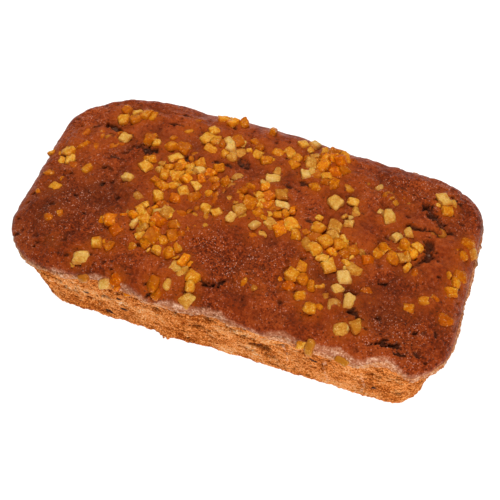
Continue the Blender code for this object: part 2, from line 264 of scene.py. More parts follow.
# Tears of the crust: from x, y to x, y, width, depth
tears = (
    (-88, 30, -80, 27, 2.2, 2.4),
    (-66, 19, -58, 18, 2.4, 2.2),
    (-40, 19, -34, 20, 1.6, 1.6),
    (-56, 39, -50, 39, 0.9, 1.3),
    (-16, 12, -13, 14, 1.1, 1.6),
    (-14, 27, -10, 25, 1.6, 1.4),
    (17, 39, 21, 37, 1.7, 2.2),
    (19, 24, 23, 23, 1.5, 1.4),
    (82, 30, 91, 20, 2.5, 2.4),
    (76, 16, 92, 16, 0.9, 1.6),
    (92, 16, 96, 20, 0.9, 1.4),
    (87, 8, 88, 1, 3.2, 2.6),
    (-9.5, -44.2, -5, -46.3, 0.9, 1.6),
    (-5, -46.3, -1, -45, 1.2, 2.2),
    (-1, -45, 2, -40.5, 0.9, 1.6),
    (100, -34, 101, -37, 0.7, 1.0),
    (93, -46, 95, -49, 0.7, 1.0),
    (62, -38, 66, -40, 1.7, 1.6),
    (78, -49, 86, -48, 2.0, 2.0),
    (-75, -8, -74, -8, 1.0, 1.6),
    (11, -34, 12, -34, 1.0, 1.4),
    (71, -18, 73, -19, 1.1, 1.4),
    (82, -2, 83, -1, 1.0, 1.4),
    (-77, 9, -68, 8, 0.7, 1.0),
    (-94, 26, -90, 27, 0.9, 1.0),
    (-44, -7, -44, -13, 0.8, 1.0),
    (12, 20, 24, 17, 0.7, 0.9),
    (28, 2, 44, 0, 0.6, 0.8),
    (-52, 48, -42, 46, 0.6, 0.8),
    (-26, 21, -18, 22, 0.9, 1.2),
    (92, 40, 96, 37, 0.9, 1.2),
    (-30, -56, -27, -57, 1.4, 1.5),
    (42, -43, 45, -45, 1.2, 1.2),
    (86, -53, 90, -51, 1.0, 1.2),
)


# Long waves of the crust, and folds with sharp ridges
def crustWaves(x, y, z):
    push = sum(height * noiseAt(x, y, z, length) for height, length in crust["waves"])
    height, length = crust["folds"]
    return push + height * (2 * np.abs(noiseAt(x + 30, y, z, length)) - 0.4)


# How far the waves move the crust, for places on the plan
def crustPushAt(x, y):
    return crustWaves(*settled(x, y, crustHeight(x, y)).T)


# Where the crust is dry and rough: its grain is deeper there, and the material paints more pale glints
# there as painted highlights
def roughShare(x, y):
    spots = sum(spotShare(x, y, spot) for spot in crust["roughSpots"])
    return np.clip(0.25 + 0.9 * spots + 0.8 * noiseAt(x, y, 0 * x + 7, 13.0), 0, 1)


# How far each point lies from a line between two places
def awayFromLine(x, y, startX, startY, endX, endY):
    runX, runY = endX - startX, endY - startY
    share = np.clip(((x - startX) * runX + (y - startY) * runY) / (runX**2 + runY**2), 0, 1)
    return np.hypot(x - startX - share * runX, y - startY - share * runY)


# Syrup that soaked in round each die, and the groove or the collar of dough at its foot
def dieRings(x, y, dice):
    stain, groove = np.zeros(len(x)), np.zeros(len(x))
    for die in dice:
        sunken = die["sits"] == "sunken"
        away = np.hypot(x - die["place"].x, y - die["place"].y) - 0.5 * die["sizes"][0]
        away = np.maximum(away, 0)
        groove += bell(away, 0, crust["collarWidth"]) * (-crust["collar"] if sunken else crust["gap"])
        cover = crust["sunkenStain"] if sunken else 1.0
        stain = np.maximum(stain, cover * bell(away, 0, crust["stainWidth"]))
    return stain, groove


# Tears and burst bubbles: how torn the crust is, which the material darkens as painted shade, and how deep
def tornCrust(x, y, z):
    jitter = noiseAt(x, y, z + 90, 2.6) * 2.4 + noiseAt(x, y, z, 1.2) * 2.2
    torn, carve = np.zeros(len(x)), np.zeros(len(x))
    for startX, startY, endX, endY, width, depth in tears:
        away = awayFromLine(x, y, startX, startY, endX, endY) + jitter * min(width, 1.6) * 0.6
        share = 1 - smoothStep(0.3 * width, 1.15 * width, away)
        torn = np.maximum(torn, share)
        carve = np.maximum(carve, share * depth)
    draw = random.Random(peel["seed"] + 3)
    for _ in range(crust["pits"]):
        pitX, pitY = [draw.uniform(-spread, spread) for spread in crust["pitSpread"]]
        radius, depth = draw.uniform(*crust["pitRadius"]), draw.uniform(*crust["pitDepth"])
        share = 1 - smoothStep(0.3 * radius, radius, np.hypot((x - pitX) * 0.7, y - pitY) + 0.25 * jitter)
        carve = np.maximum(carve, share * depth)
        torn = np.maximum(torn, share * depth * 0.5)
    return torn, carve


# How far each point of the crust moves out, and the masks that its material reads
def shapeCrust(points, onCrust, dice):
    near = onCrust > 0
    x, y, z = points[near].T
    rim = bell(distanceInside(x, y), 0, crust["rimReach"])
    rough = roughShare(x, y)
    stain, groove = dieRings(x, y, dice)
    torn, carve = tornCrust(x, y, z)
    push = crustWaves(x, y, z) * (1 - crust["rimCalm"] * rim)
    everywhere, whereRough = crust["grainShares"]
    for height, length in crust["grain"]:
        share = (everywhere + whereRough * rough) * (1 - crust["grainCalm"] * np.maximum(stain, rim))
        push += height * noiseAt(x, y, z, length) * share
    height, length = crust["wrinkle"]
    ridges = 1 - 2 * np.abs(noiseAt(x * 0.35, y + 0.25 * x, z, length))
    creased = sum(spotShare(x, y, spot) for spot in crust["wrinkleSpots"])
    push += height * (ridges - 0.6) * np.minimum(creased, 1)
    push += sum(spot[4] * spotShare(x, y, spot[:4]) for spot in crust["bulges"])
    push -= carve + np.minimum(groove, crust["gap"]) * (1 - stain * 0.3)
    masks = {
        # torn carries painted shade in the tears and burst bubbles
        "torn": torn,
        "stain": stain,
        # dark and low carry painted shade: of the hollows, and darker the deeper the crust is pushed in
        "dark": np.minimum(sum(spotShare(x, y, spot) for spot in crust["shadedHollows"]), 1),
        "rough": rough * (1 - 0.7 * stain),
        "low": np.clip(-push / crust["fullShadeDepth"], 0, 1),
    }
    return spreadOut(push, near) * onCrust, {name: spreadOut(mask, near) for name, mask in masks.items()}


# Crumb of the four walls, which the tin left rough
wall = {
    "seam": (0.35, 13.0, 2.0),  # height, length along the wall, squeeze in Z of long creases
    "crumb": ((0.6, 6.0), (0.4, 2.6), (0.5, 1.4)),
    "cavity": (1.8, 8.0, 0.4),  # depth, length, how much of the noise opens up
    "creases": (1.1, 7.0, 2.6),  # depth, length, squeeze in Z of the short lines
    "lip": 1.0,  # how far the skin under the rim stands out
    "skinWidth": 3.0,
    "skinVaries": (1.3, 14.0),  # by how much of its width, and over what length
    "skinLeast": 0.8,
    "foldIn": 0.2,  # how far the skin reaches in over the crust between its spots
    "foldVaries": (0.7, 4.0),
    "waveReach": 6.0,  # how far from the rim its waves are felt
    "skinSpots": (  # x, more width, reach
        (-26, 2.6, 7),
        (36, 2.2, 8),
        (58, 3.0, 8),
        (78, 0.6, 8),
        (2, -1.0, 9),
        (-60, -0.8, 14),
    ),
    "ridge": (0.4, 0.5),  # height and half width of the torn edge of that skin
    "crevice": 1.8,
    "frontEnd": -40,  # the front wall lies beyond this y
    "paleRise": 0.3,  # how far the pale creases stand out
    "ragged": 0.28,  # crumbs that stand out at the base
    "raggedHeights": (1.0, 6.0),
    "crumbsAt": (-30, 3.4, 9),  # x, how much more they stand out there, reach
    "fullShadeDepth": 1.1,  # painted shade of a hole is full at this depth
}

# Holes of the long front wall: x, z, half length, half height, depth
frontHoles = (
    (-30, 43, 4.5, 1.8, 2.6),
    (-5, 25, 4.2, 1.8, 3.0),
    (-8, 34, 5.0, 1.4, 2.0),
    (10, 47, 4.0, 1.8, 3.0),
    (14, 40, 3.2, 1.3, 2.2),
    (-62, 8, 3.6, 1.6, 2.2),
    (-58, 33, 5.0, 1.0, 1.4),
    (-84, 44, 5.0, 1.2, 1.4),
    (-20, 47, 4.0, 1.3, 2.0),
    (-77, 22, 3.0, 1.1, 1.4),
    (26, 34, 6.0, 1.2, 1.8),
    (50, 51, 4.0, 1.2, 1.6),
    (66, 47, 5.0, 1.4, 1.4),
    (82, 34, 5.0, 1.2, 1.6),
    (88, 42, 4.0, 1.1, 1.4),
    (40, 26, 4.0, 0.9, 1.2),
    (80, 40, 4.0, 1.0, 1.6),
    (90, 36, 5.0, 0.9, 1.6),
    (84, 46, 4.0, 0.9, 1.4),
    (92, 44, 4.0, 1.0, 1.4),
    (78, 33, 3.0, 0.8, 1.2),
    (96, 38, 3.0, 0.9, 1.3),
    (-88, 38, 5.0, 0.8, 1.2),
    (-80, 33, 4.0, 0.8, 1.2),
    (-72, 39, 5.0, 0.9, 1.2),
    (-66, 24, 4.0, 0.8, 1.2),
    (-92, 30, 4.0, 0.8, 1.1),
    (-22, 38, 4.0, 0.8, 1.4),
    (-14, 30, 4.0, 0.8, 1.3),
    (-26, 30, 3.0, 0.8, 1.2),
    (-14, 44, 5.0, 0.9, 1.4),
)

# Pale creases that run down the long front wall: x, lowest z, highest z
frontCreases = ((36, 18, 44), (57, 5, 42), (75, 5, 40))


# How far each point of the walls moves out, and the masks that its material reads
def shapeWall(points, onWall, drop, skinEnd):
    near = onWall > 0
    x, y, z = points[near].T
    drop, skinEnd = drop[near], skinEnd[near]
    front = y < wall["frontEnd"]
    inSkin = 1 - smoothStep(0.7, 1.1, drop / skinEnd)
    height, length, squeeze = wall["seam"]
    push = height * (0.4 - 2 * np.abs(noiseAt(x, y, z * squeeze, length)))
    for height, length in wall["crumb"]:
        push += height * noiseAt(x, y, z * 1.1, length) * (1 - 0.35 * inSkin)

    # Holes and short creases of the open crumb, darkened with painted shade through the torn mask
    depth, length, opening = wall["cavity"]
    torn = smoothStep(opening, opening + 0.15, noiseAt(x + 40, y, z * 2.6, length))
    torn = torn * smoothStep(3, 7, z) * smoothStep(3, 8, drop)
    push -= depth * torn
    depth, length, squeeze = wall["creases"]
    lines = 1 - smoothStep(0.02, 0.1, np.abs(noiseAt(x, y, z * squeeze + 70, length)))
    lines *= smoothStep(0.05, 0.3, noiseAt(x + 60, y, z * 2, 9.0)) * (1 - inSkin)
    push -= depth * lines
    torn = np.maximum(torn, 0.6 * lines)
    jitter = noiseAt(x, y, z, 2.2) * 1.4 + noiseAt(x, y, z, 1.1) * 0.5
    for holeX, holeZ, halfLength, halfHeight, holeDepth in frontHoles:
        away = np.hypot((x - holeX) / halfLength, (z - holeZ) / halfHeight) + jitter * 0.6
        share = (1 - smoothStep(0.4, 1.0, away)) * front
        torn = np.maximum(torn, share)
        push -= holeDepth * share

    # Pale skin that the rim left on the wall, with a torn edge and a crevice under it, which painted shade
    # darkens
    push += wall["lip"] * bell(drop / skinEnd, 0.55, 0.4)
    crevice = 1 - smoothStep(0.4, 1.7, np.abs(drop - skinEnd * 1.15 - 1.0 + 0.7 * jitter))
    crevice *= smoothStep(0.0, 0.3, noiseAt(x, y, 0 * z, 11.0) + 0.1)
    push -= wall["crevice"] * crevice
    torn = np.maximum(torn, 0.75 * crevice)
    height, halfWidth = wall["ridge"]
    ridge = bell(drop + 0.5 * jitter, 0.8 * skinEnd, halfWidth)
    ridge *= smoothStep(-0.1, 0.2, noiseAt(x, y, 0 * z + 9, 7.0))
    push += height * ridge
    pale = 0.9 * ridge

    # Creases down the front wall, and crumbs at the base
    for creaseX, lowZ, highZ in frontCreases:
        wander = np.sin(z * 0.13 + creaseX) + 0.8 * jitter
        share = (1 - smoothStep(0.1, 0.6, np.abs(x - creaseX - wander))) * (z > lowZ) * (z < highZ) * front
        pale = np.maximum(pale, 0.8 * share * smoothStep(-0.25, 0.1, noiseAt(x, y, z, 4.0)))
    push += wall["paleRise"] * pale
    crumbsX, more, reach = wall["crumbsAt"]
    ragged = wall["ragged"] + more * bell(x, crumbsX, reach) * front
    crumbs = 0.3 + noiseAt(x, y, z, 4.5) + noiseAt(x, y, z, 1.8)
    push += ragged * crumbs * (1 - smoothStep(*wall["raggedHeights"], z))
    # torn and low carry painted shade: of holes, creases and the crevice, and darker the deeper the wall is
    # pushed in
    masks = {"torn": torn, "pale": pale, "lip": inSkin, "low": np.clip(-push / wall["fullShadeDepth"], 0, 1)}
    return spreadOut(push, near) * onWall, {name: spreadOut(mask, near) for name, mask in masks.items()}


# How the pale skin of the front rim reaches in over the crust: x, width, reach
skinOverCrust = (
    (-54, 1.0, 8),
    (-41, 0.6, 4),
    (-28, -0.8, 5),
    (1, 0.9, 8),
    (35, 1.0, 5),
    (47, 0.6, 5),
    (61, 1.6, 7),
    (84, 0.9, 7),
    (103, -0.3, 8),
)

# Waves of the front rim: x, how far it moves out and up there, reach
rimWaves = (
    (-77, 0.7, -0.4, 8),
    (-54, -0.7, 0.5, 9),
    (-30, 1.5, -0.8, 6),
    (2, -0.9, 0.6, 8),
    (26, 0.9, -0.4, 6),
    (36, -0.8, 0.6, 5),
    (71, 1.1, -0.5, 5),
    (84, -2.4, 2.2, 7),
    (96, 0.9, -0.8, 6),
)


# A piece of the picture, with the masks that its material reads
def newPiece(name, points, faces, material, masks=None):
    mesh = bpy.data.meshes.new(name)
    mesh.from_pydata([tuple(point) for point in (points * mm).tolist()], [], faces)
    for label, values in (masks or {}).items():
        made = mesh.attributes.new(label, "FLOAT", "POINT")
        made.data.foreach_set("value", np.asarray(values, np.float32))
    mesh.polygons.foreach_set("use_smooth", [True] * len(mesh.polygons))
    mesh.materials.append(material)
    mesh.update()
    piece = bpy.data.objects.new(name, mesh)
    bpy.context.scene.collection.objects.link(piece)
    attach(piece, "root")
    return piece


# Spreads even grid lines so that they lie a little closer near the two ends
def packed(values, packing):
    return values * (1 - packing) + packing * np.sin(math.pi * values / 2)


# Even points of crust and walls, how far each lies below the rim, and the faces, the crust's first
def loafGrid():
    cellsX, cellsY, cellsZ = loaf["cells"]
    lineU, lineV = [packed(np.linspace(-1, 1, cells + 1), loaf["packing"]) for cells in (cellsX, cellsY)]
    u, v = np.meshgrid(lineU, lineV, indexing="ij")
    x, y = rimPlan(u, v)
    top = settled(x, y, crustHeight(x, y)).reshape(-1, 3)
    index = np.arange(len(top)).reshape(cellsX + 1, cellsY + 1)
    quads = np.stack((index[:-1, :-1], index[1:, :-1], index[1:, 1:], index[:-1, 1:]), -1).reshape(-1, 4)
    loop = np.concatenate((index[:-1, 0], index[-1, :-1], index[:0:-1, -1], index[0, :0:-1]))
    edgeU, edgeV = u.reshape(-1)[loop], v.reshape(-1)[loop]
    points, drops, rings = [top], [np.zeros(len(top))], [loop]
    shares = np.linspace(1, 0, cellsZ + 1)[1:]
    for number, share in enumerate(shares):
        ring, drop = wallPoint(edgeU, edgeV, np.full(len(loop), share))
        points.append(ring)
        drops.append(drop)
        rings.append(len(top) + number * len(loop) + np.arange(len(loop)))
    faces = quads.tolist()
    for upper, lower in zip(rings, rings[1:]):
        faces += np.stack((upper, lower, np.roll(lower, -1), np.roll(upper, -1)), -1).tolist()
    faces.append(rings[-1][::-1].tolist())
    return np.concatenate(points), np.concatenate(drops), faces


def normalsOf(points, faces):
    mesh = bpy.data.meshes.new("probe")
    mesh.from_pydata(points.tolist(), [], faces)
    mesh.update()
    found = np.empty(len(points) * 3)
    mesh.vertex_normals.foreach_get("vector", found)
    bpy.data.meshes.remove(mesh)
    return found.reshape(-1, 3)


# How much of the pale skin lies on the crust beside the rim
def skinOnCrust(x, y, drop, wander):
    share, length = wall["foldVaries"]
    skinIn = wall["foldIn"] + share * noiseAt(x, y, 0 * drop, length) + 0.5 * wander
    for spotX, width, reach in skinOverCrust:
        skinIn += width * bell(x, spotX, reach) * (y < 0)
    fold = 1 - smoothStep(-0.8, 0.7, distanceInside(x, y) - skinIn)
    return fold * (drop <= 0) * (0.4 + 0.6 * (y < -45))


# Cuts the loaf in two pieces that meet at the rim: the crust on top, and the crumb of sides and base
def splitLoaf(points, faces, masks, material):
    crustFaces = loaf["cells"][0] * loaf["cells"][1]
    for name, some in {"bakedCrust": faces[:crustFaces], "openCrumb": faces[crustFaces:]}.items():
        used = np.unique(np.concatenate([np.array(face) for face in some]))
        place = np.zeros(len(points), int)
        place[used] = np.arange(len(used))
        some = [place[list(face)].tolist() for face in some]
        ownMasks = {label: values[used] for label, values in masks.items()}
        piece = newPiece(name, points[used], some, material, ownMasks)
        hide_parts("cake_loaf")
        print(name, "faces:", len(some))


def makeLoaf(dice, material):
    points, drop, faces = loafGrid()
    x, y, _ = points.T
    normals = normalsOf(points, faces)
    wander = noiseAt(x, y, 0 * drop, 9.0)
    onWall = smoothStep(-0.4, 1.2, drop + 1.6 * wander) * (drop > 0)
    crustPush, crustMasks = shapeCrust(points, 1 - onWall, dice)
    share, length = wall["skinVaries"]
    skinEnd = wall["skinWidth"] * (1 + share * noiseAt(x, y, 0 * drop + 50, length))
    for spotX, more, reach in wall["skinSpots"]:
        skinEnd += more * bell(x, spotX, reach) * (y < 0)
    wallPush, wallMasks = shapeWall(points, onWall, drop, np.maximum(skinEnd, wall["skinLeast"]))
    points = points + normals * (crustPush + wallPush)[:, None]
    near = bell(np.maximum(distanceInside(x, y), drop), 0, wall["waveReach"]) * (y < 0)
    for waveX, outward, upward, reach in rimWaves:
        points += (near * bell(x, waveX, reach))[:, None] * np.array((0.0, -outward, upward))
    points[:, 2] = np.maximum(points[:, 2], 0.0)
    masks = {name: values * (1 - onWall) for name, values in crustMasks.items()}
    for name in ("torn", "low"):
        masks[name] = np.maximum(masks[name], wallMasks[name] * onWall)
    skin = np.maximum(wallMasks["lip"], skinOnCrust(x, y, drop, wander))
    masks.update({"wall": onWall, "lip": skin, "pale": wallMasks["pale"]})
    splitLoaf(points, faces, masks, material)


# Diced candied peel, cut and spread as in the CAD
peel = {
    "seed": 41,
    "side": (4.6, 6.9),
    "width": (0.66, 1.02),
    "thickness": (3.6, 5.2),
    "sunken": (0.1, 0.2),
    "flush": (0.24, 0.42),
    "proud": (0.4, 0.58),
    "scatter": 0.7,
    "tilt": math.radians(34),
    "skew": 0.09,
    "plump": 1.1,
    "rimShade": 0.4,  # painted shade: how much darker the sides and rims of a die are than the middle of its top
    "sink": 0.5,  # glaze that has risen round each die
    "cuts": 6,
    "edgeRadius": 1.0,
    "roundness": {"sunken": (0.6, 0.9), "flush": (0.12, 0.4), "proud": (0.0, 0.22)},
    "lumps": ((0.85, 3.6), (0.42, 1.4)),  # height and length
    "uneven": 1.5,  # how much more skew the dice show than the plain ones of the CAD
    "scraps": 0.4,  # share of the dice that have a crumb of peel beside them
    "scrapSide": (2.4, 4.2),
    "scrapAway": (3.4, 6.0),  # from the middle of the die
    "scrapFromRim": 3.0,
    "patchSide": (4.0, 5.8),
    "patchGap": 3.6,
    "patchTries": 12,  # for each die, until it finds room
}

# Drifts of peel: from x, y to x, y, the count, how it sits and its colours in turn
peelDrifts = (
    (-83.5, 45, -77.5, 44, 2, "flush", "amber"),
    (-81, 36, -75.5, 38, 2, "flush", "amber"),
    (-72, 41, -67, 42, 2, "flush", "amber"),
    (-75.5, 24, -75.5, 24, 1, "proud", "pale"),
    (-62, 26, -57.5, 23, 2, "flush", "amber"),
    (-50, 24, -44, 25, 2, "flush", "amber"),
    (-38, 24, -38, 24, 1, "sunken", "amber"),
    (-96.5, 21, -87, 22, 2, "sunken", "orange"),
    (-93, 12, -86.5, 12, 2, "sunken", "orange"),
    (-92, -2, -86, -2, 2, "sunken", "orange"),
    (-104, -9, -102, -21, 2, "sunken", "orange"),
    (-99.5, 7, -96, 3, 2, "flush", "amber"),
    (-56.5, 13, -57, 8, 2, "flush", "amber"),
    (-62.5, -3, -62.5, -3, 1, "flush", "pale"),
    (-96, -15, -96, -15, 1, "flush", "amber"),
    (-88, -30, -91, -35, 2, "sunken", "orange"),
    (-83, -46, -83, -46, 1, "sunken", "orange"),
    (-67, -50, -67, -50, 1, "flush", "pale"),
    (-61.5, -42, -56, -42, 2, "flush", "amber"),
    (-61.5, -28, -57, -32, 2, "flush", "orange"),
    (-54, -12, -53.5, -20, 2, "sunken", "pale"),
    (-48, -19, -44, -23, 2, "flush", "amber"),
    (-48.5, -26, -44, -28, 2, "flush", "pale"),
    (-38.5, -22, -38.5, -22, 1, "proud", "orange"),
    (-36, -17, -36, -17, 1, "proud", "pale"),
    (-43.5, -33, -33, -30, 3, "flush", "amber"),
    (-25, -24, -24, -31, 2, "sunken", "orange"),
    (-19.5, -37, -19.5, -37, 1, "proud", "orange"),
    (-22, -42, -12.5, -44, 3, "flush", "pale pale amber"),
    (-29, -53, -23, -51, 2, "flush", "amber pale"),
    (-12, -48, -11.5, -54, 2, "flush", "amber pale"),
    (-46, -38, -46, -38, 1, "sunken", "amber"),
    (-46, 17, -45, -1, 4, "flush", "amber"),
    (-40, 14, -35, 7, 2, "flush", "orange"),
    (-40, 7, -40, 1, 2, "flush", "amber"),
    (-30, 13, -30, 13, 1, "proud", "pale"),
    (-35.5, -6, -40.5, -11, 2, "flush", "orange"),
    (-45, -7, -45, -7, 1, "flush", "amber"),
    (-28, 4, -22, 3, 2, "flush", "amber"),
    (-28, -2, -20, -6, 2, "flush", "amber"),
    (-11.5, 16, -11.5, 9, 2, "sunken", "pale"),
    (-4, -3, -6, -9, 2, "proud", "pale"),
    (-14, -7, -14, -7, 1, "flush", "amber"),
    (-23, -17, -17, 0, 2, "sunken", "orange"),
    (-31, 29, -23, 28, 2, "flush", "amber"),
    (-16, 33, -18, 28, 2, "flush", "pale"),
    (-35, 36, -33, 41, 2, "flush", "amber"),
    (-19, 39, -19, 39, 1, "flush", "amber"),
    (-44.5, 44, -44.5, 44, 1, "sunken", "amber"),
    (-31.5, 52, -26.5, 50, 2, "proud", "orange"),
    (-20, 52, -5, 52, 2, "proud", "amber"),
    (-7, 34, -1.5, 32, 2, "flush", "amber"),
    (-0.5, 2, 4.5, -2, 2, "flush", "amber"),
    (2.5, 39, 7.5, 40, 2, "flush", "amber"),
    (12, 39, 12.5, 33, 2, "flush", "amber"),
    (13.5, 50, 13.5, 50, 1, "proud", "amber"),
    (6, 26, 5, 20, 2, "flush", "pale"),
    (4, 14, 8, 6, 3, "flush", "orange"),
    (12.5, 13, 15, 7, 2, "proud", "pale"),
    (5.5, -8, 12, -5, 2, "proud", "pale"),
    (18, -6, 22.5, -2, 2, "flush", "orange"),
    (21, 44, 20, 29, 3, "flush", "pale"),
    (24.5, 49, 34.5, 49, 3, "proud", "amber"),
    (26, 43, 33.5, 43, 3, "proud", "orange"),
    (26.5, 37, 32.5, 36, 2, "flush", "orange"),
    (25, 32, 35, 29, 3, "flush", "amber"),
    (26.5, 23, 26.5, 23, 1, "flush", "amber"),
    (38, 17, 38, 17, 1, "proud", "pale"),
    (49, 36, 49, 36, 1, "sunken", "pale"),
    (47, 22, 49, 16, 2, "flush", "amber pale"),
    (65.5, 17, 65.5, 17, 1, "proud", "pale"),
    (66.5, 30, 72, 29, 2, "sunken", "amber"),
    (48, 7, 43, 3, 2, "proud", "pale"),
    (42.5, -2, 48, -6, 2, "flush", "pale amber"),
    (34, -6, 40, -6, 2, "flush", "amber"),
    (37, -12, 45.5, -18, 3, "flush", "amber"),
    (53, -2, 59, -5, 2, "sunken", "pale"),
    (57.5, -17, 55, -22, 2, "flush", "pale"),
    (67.5, 0, 67.5, 0, 1, "proud", "amber"),
    (71.5, 8, 77, 12, 2, "proud", "pale"),
    (76, 4, 82, 2, 2, "flush", "amber orange"),
    (72.5, -4, 78, -3, 2, "flush", "amber pale"),
    (33.5, -23, 31, -29, 2, "flush", "amber"),
    (30.5, -34, 30.5, -34, 1, "proud", "orange"),
    (37.5, -38, 44.5, -43, 2, "flush", "amber"),
    (11, -39, 11, -39, 1, "sunken", "orange"),
    (18, -40, 53, -37, 2, "sunken", "pale"),
    (53, -29, 59.5, -33, 2, "flush", "pale"),
    (60, -47, 66.5, -43, 2, "flush", "pale"),
    (89, 39, 91.5, 33, 2, "flush", "pale amber"),
    (92, 18, 92, 18, 1, "sunken", "pale"),
    (105.5, 17, 103.5, 9, 2, "flush", "amber"),
    (104, -2, 102.5, -13, 3, "flush", "amber"),
    (92.5, -22, 86.5, -28, 2, "sunken", "orange"),
    (85, -9, 103.5, -27, 2, "sunken", "orange"),
    (66, -27, 7, -14, 2, "sunken", "orange"),
)

# Patches of smaller dice between the drifts: x, y, reach in x, in y, count, how they sit and their colour
peelPatches = (
    (-36, 6, 10, 9, 9, "flush", "amber"),
    (-30, 12, 9, 6, 4, "proud", "amber"),
    (5, 4, 14, 7, 8, "flush", "amber"),
    (-41, -25, 10, 8, 8, "flush", "amber"),
    (-41, -22, 8, 6, 3, "flush", "orange"),
    (-21, -14, 8, 5, 6, "sunken", "amber"),
    (27, 36, 9, 8, 9, "flush", "amber"),
    (46, -9, 11, 8, 9, "flush", "amber"),
    (-21, 34, 18, 4, 6, "flush", "amber"),
    (76, 1, 8, 7, 3, "flush", "amber"),
    (34, -27, 6, 5, 3, "flush", "amber"),
    (-15, 5, 7, 7, 5, "sunken", "amber"),
    (-32, -39, 6, 5, 2, "flush", "amber"),
    (56, 27, 20, 12, 4, "sunken", "amber"),
    (-84, 20, 12, 12, 4, "sunken", "orange"),
    (108.2, 13.2, 0.4, 0.4, 1, "proud", "pale"),
    (-25.5, -55, 0.6, 0.6, 1, "flush", "amber"),
    (-46, -56, 0.6, 0.6, 1, "flush", "orange"),
    (-108.6, 5.7, 0.4, 0.4, 1, "flush", "amber"),
    (17.8, 52.5, 0.4, 0.4, 1, "proud", "pale"),
)

# Dice in the face of the front rim: x, z, side, colour
rimPeel = (
    (49, 58, 6.2, "pale"),
    (45, 57, 4.6, "amber"),
    (64, 56, 5.6, "pale"),
    (-41, 51, 4.0, "amber"),
    (-62, 57, 4.8, "pale"),
    (-51, 57, 4.8, "pale"),
    (-45, 57, 3.6, "orange"),
)


# The size, turn, lean and shape of one die, drawn by chance
def newDie(draw, x, y, sits, tone, sides):
    side = draw.uniform(*sides)
    die = {"x": x, "y": y, "sits": sits, "tone": tone}
    die["sizes"] = (side, side * draw.uniform(*peel["width"]), draw.uniform(*peel["thickness"]))
    die["heading"] = draw.uniform(0, math.pi)
    die["showing"] = draw.uniform(*peel[sits])
    die["tilt"] = [die["showing"] * draw.uniform(-peel["tilt"], peel["tilt"]) for _ in range(2)]
    die["skew"] = [[draw.uniform(-peel["skew"], peel["skew"]) for _ in range(3)] for _ in range(8)]
    return die


# The same seeded draw as the CAD, so that each die lies on its solid
def peelDice():
    draw = random.Random(peel["seed"])
    dice = []
    for startX, startY, endX, endY, count, sits, tone in peelDrifts:
        tones = tone.split()
        for number in range(count):
            share = number / (count - 1) if count > 1 else 0
            x = startX + (endX - startX) * share + draw.uniform(-peel["scatter"], peel["scatter"])
            y = startY + (endY - startY) * share + draw.uniform(-peel["scatter"], peel["scatter"])
            dice.append(newDie(draw, x, y, sits, tones[number % len(tones)], peel["side"]))
    return dice


# Smaller dice where a patch has room for them beside those that are there
def patchDice(dice):
    draw = random.Random(peel["seed"] + 13)
    made = []
    for spotX, spotY, reachX, reachY, count, sits, tone in peelPatches:
        enough = len(made) + count
        for _ in range(peel["patchTries"] * count):
            x, y = draw.gauss(spotX, reachX / 2), draw.gauss(spotY, reachY / 2)
            room = min(math.hypot(x - die["x"], y - die["y"]) for die in dice + made)
            if len(made) < enough and room > peel["patchGap"]:
                shade = draw.choice((tone, tone, tone, "pale", "amber", "orange")) if count > 1 else tone
                made.append(newDie(draw, x, y, sits, shade, peel["patchSide"]))
    return made


# Crumbs of peel that broke off beside the dice
def peelScraps(dice):
    draw = random.Random(peel["seed"] + 9)
    scraps = []
    for die in dice:
        if draw.random() > peel["scraps"]:
            continue
        turn, away = draw.uniform(0, 2 * math.pi), draw.uniform(*peel["scrapAway"])
        side = draw.uniform(*peel["scrapSide"])
        scrap = dict(die, x=die["x"] + away * math.cos(turn), y=die["y"] + away * math.sin(turn))
        scrap["sizes"] = (side, side * draw.uniform(0.5, 1), side * draw.uniform(0.5, 0.9))
        scrap["heading"] = draw.uniform(0, math.pi)
        if distanceInside(scrap["x"], scrap["y"]) > peel["scrapFromRim"]:
            scraps.append(scrap)
    return scraps


# Adds to each die the place and the normal of the crust under it
def placeDice(dice):
    x, y = np.array([die["x"] for die in dice]), np.array([die["y"] for die in dice])
    places = settled(x, y, crustHeight(x, y) + crustPushAt(x, y) - peel["sink"])
    for die, place, normal in zip(dice, places, crustNormals(x, y)):
        die["place"], die["normal"] = Vector(place), normal


# The dice that show in the face of the front rim
def rimDice():
    draw = random.Random(peel["seed"] + 11)
    dice = []
    for x, z, side, tone in rimPeel:
        die = newDie(draw, x, -halfRim[1], "flush", tone, (side, side))
        die["place"] = wallSpot(x / halfRim[0], -1.0, z / loaf["rimHeight"])
        die["normal"] = Vector((0, -1, 0.5)).normalized()
        dice.append(die)
    return dice


# Points and faces of a shape, which is then let go
def takeMesh(shape):
    shape.verts.index_update()
    points = np.array([vert.co[:] for vert in shape.verts])
    faces = [[vert.index for vert in face.verts] for face in shape.faces]
    shape.free()
    return points, faces


# The faces of several shapes that have the same faces each, with their points counted on
def countedOn(faces, shapes):
    starts = [len(shapes[0]) * number for number in range(len(shapes))]
    return [[start + corner for corner in face] for start in starts for face in faces]


# A cube of side 1 whose faces are cut in a grid: its corners, points and faces
def cutCube(cuts):
    shape = bmesh.new()
    bmesh.ops.create_cube(shape, size=1)
    corners = np.array([vert.co[:] for vert in shape.verts])
    bmesh.ops.subdivide_edges(shape, edges=shape.edges[:], cuts=cuts, use_grid_fill=True)
    return corners, *takeMesh(shape)


def turnOf(normal, heading, tilt=(0.0, 0.0)):
    turn = normal.to_track_quat("Z", "Y").to_matrix() @ Matrix.Rotation(heading, 3, "Z")
    return np.array(turn @ Matrix.Rotation(tilt[0], 3, "X") @ Matrix.Rotation(tilt[1], 3, "Y"))


